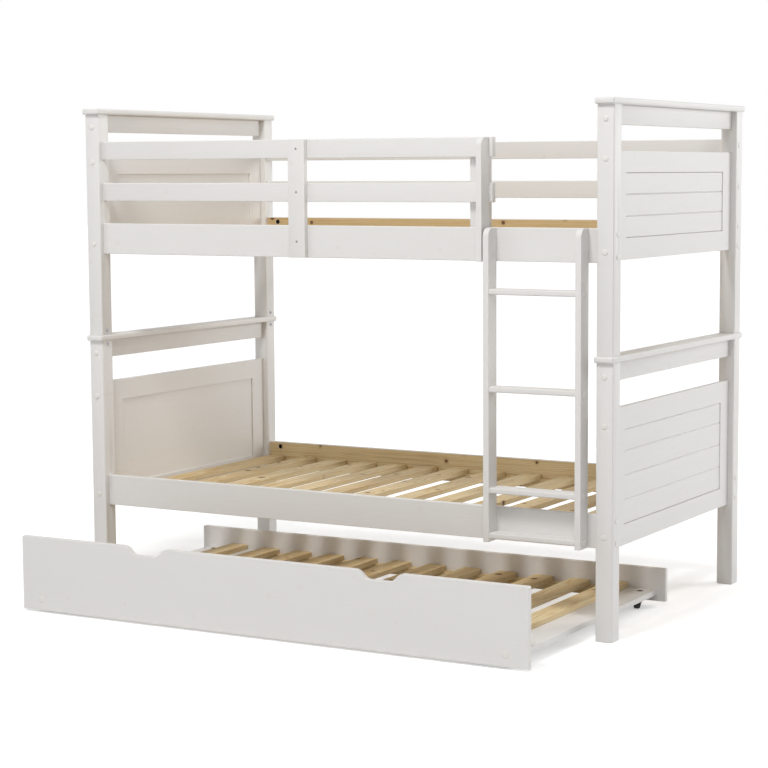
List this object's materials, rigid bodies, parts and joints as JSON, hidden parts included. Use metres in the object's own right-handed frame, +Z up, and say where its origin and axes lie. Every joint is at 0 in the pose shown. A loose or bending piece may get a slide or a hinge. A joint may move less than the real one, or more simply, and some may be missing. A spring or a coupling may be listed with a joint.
{
  "type": "bunk bed with trundle",
  "caption": "Painted pine bunk bed with framed, grooved end panels, guard rails, an upright front ladder and a low slatted trundle on swivel castors that rolls out from underneath.",
  "frame": {"origin": "on the floor under the middle of the whole bed with its trundle pulled out as in the picture", "axes": "+X along the bed towards the ladder's end, -Y to the side that the trundle comes out of, +Z up"},
  "size_m": [2.01, 1.573, 1.676],
  "materials": {
    "painted_wood": "satin paint",
    "bare_pine": "sanded, unpainted",
    "fastener_caps": "satin",
    "zinc_steel": "zinc plated",
    "castor_plastic": "moulded",
    "wheel_tread": "moulded"
  },
  "bodies": {
    "bed": {"barrel_nuts": "zinc_steel", "end_screws": "fastener_caps", "guard_and_ladder_screws": "fastener_caps", "guard_batten": "painted_wood", "guard_end_board": "painted_wood", "guard_plate": "painted_wood", "guard_rails_back": "painted_wood", "guard_rails_front": "painted_wood", "joining_dowels": "zinc_steel", "ladder_rungs": "painted_wood", "ladder_stiles": "painted_wood", "lock_screws": "zinc_steel", "lower_cap_left": "painted_wood", "lower_cap_right": "painted_wood", "lower_panel_frame_left": "painted_wood", "lower_panel_frame_right": "painted_wood", "lower_panel_left": "painted_wood", "lower_panel_right": "painted_wood", "lower_post_back_left": "painted_wood", "lower_post_back_right": "painted_wood", "lower_post_front_left": "painted_wood", "lower_post_front_right": "painted_wood", "lower_side_rail_back": "painted_wood", "lower_side_rail_front": "painted_wood", "lower_slats": "bare_pine", "lower_top_rail_left": "painted_wood", "lower_top_rail_right": "painted_wood", "rail_bolts": "fastener_caps", "slat_ledgers": "bare_pine", "upper_cap_left": "painted_wood", "upper_cap_right": "painted_wood", "upper_panel_frame_left": "painted_wood", "upper_panel_frame_right": "painted_wood", "upper_panel_left": "painted_wood", "upper_panel_right": "painted_wood", "upper_post_back_left": "painted_wood", "upper_post_back_right": "painted_wood", "upper_post_front_left": "painted_wood", "upper_post_front_right": "painted_wood", "upper_side_rail_back": "painted_wood", "upper_side_rail_front": "painted_wood", "upper_slats": "bare_pine", "upper_top_rail_left": "painted_wood", "upper_top_rail_right": "painted_wood"},
    "trundle": {"castor_board_left": "painted_wood", "castor_board_right": "painted_wood", "trundle_back": "painted_wood", "trundle_battens": "bare_pine", "trundle_end_slats": "bare_pine", "trundle_front": "painted_wood", "trundle_screws": "fastener_caps", "trundle_slats": "bare_pine"},
    "fork_front_left": {"castor_fork_front_left": "castor_plastic"},
    "wheel_front_left": {"castor_wheel_front_left": "wheel_tread"},
    "fork_front_right": {"castor_fork_front_right": "castor_plastic"},
    "wheel_front_right": {"castor_wheel_front_right": "wheel_tread"},
    "fork_back_left": {"castor_fork_back_left": "castor_plastic"},
    "wheel_back_left": {"castor_wheel_back_left": "wheel_tread"},
    "fork_back_right": {"castor_fork_back_right": "castor_plastic"},
    "wheel_back_right": {"castor_wheel_back_right": "wheel_tread"}
  },
  "joints": [
    {"name": "trundle_pull", "type": "slide", "parent": "bed", "child": "trundle", "axis": [0, -1, 0], "range_m": [-0.46, 0.64]},
    {"name": "swivel_front_left", "type": "hinge", "parent": "trundle", "child": "fork_front_left", "pos_m": [-0.863, -0.7245, 0.04], "axis": [0, 0, 1], "continuous": true},
    {"name": "wheel_spin_front_left", "type": "hinge", "parent": "fork_front_left", "child": "wheel_front_left", "pos_m": [-0.863, -0.7485, 0.015], "axis": [1, 0, 0], "continuous": true},
    {"name": "swivel_front_right", "type": "hinge", "parent": "trundle", "child": "fork_front_right", "pos_m": [0.863, -0.7245, 0.04], "axis": [0, 0, 1], "continuous": true},
    {"name": "wheel_spin_front_right", "type": "hinge", "parent": "fork_front_right", "child": "wheel_front_right", "pos_m": [0.863, -0.7485, 0.015], "axis": [1, 0, 0], "continuous": true},
    {"name": "swivel_back_left", "type": "hinge", "parent": "trundle", "child": "fork_back_left", "pos_m": [-0.863, 0.2185, 0.04], "axis": [0, 0, 1], "continuous": true},
    {"name": "wheel_spin_back_left", "type": "hinge", "parent": "fork_back_left", "child": "wheel_back_left", "pos_m": [-0.863, 0.1945, 0.015], "axis": [1, 0, 0], "continuous": true},
    {"name": "swivel_back_right", "type": "hinge", "parent": "trundle", "child": "fork_back_right", "pos_m": [0.863, 0.2185, 0.04], "axis": [0, 0, 1], "continuous": true},
    {"name": "wheel_spin_back_right", "type": "hinge", "parent": "fork_back_right", "child": "wheel_back_right", "pos_m": [0.863, 0.1945, 0.015], "axis": [1, 0, 0], "continuous": true}
  ]
}
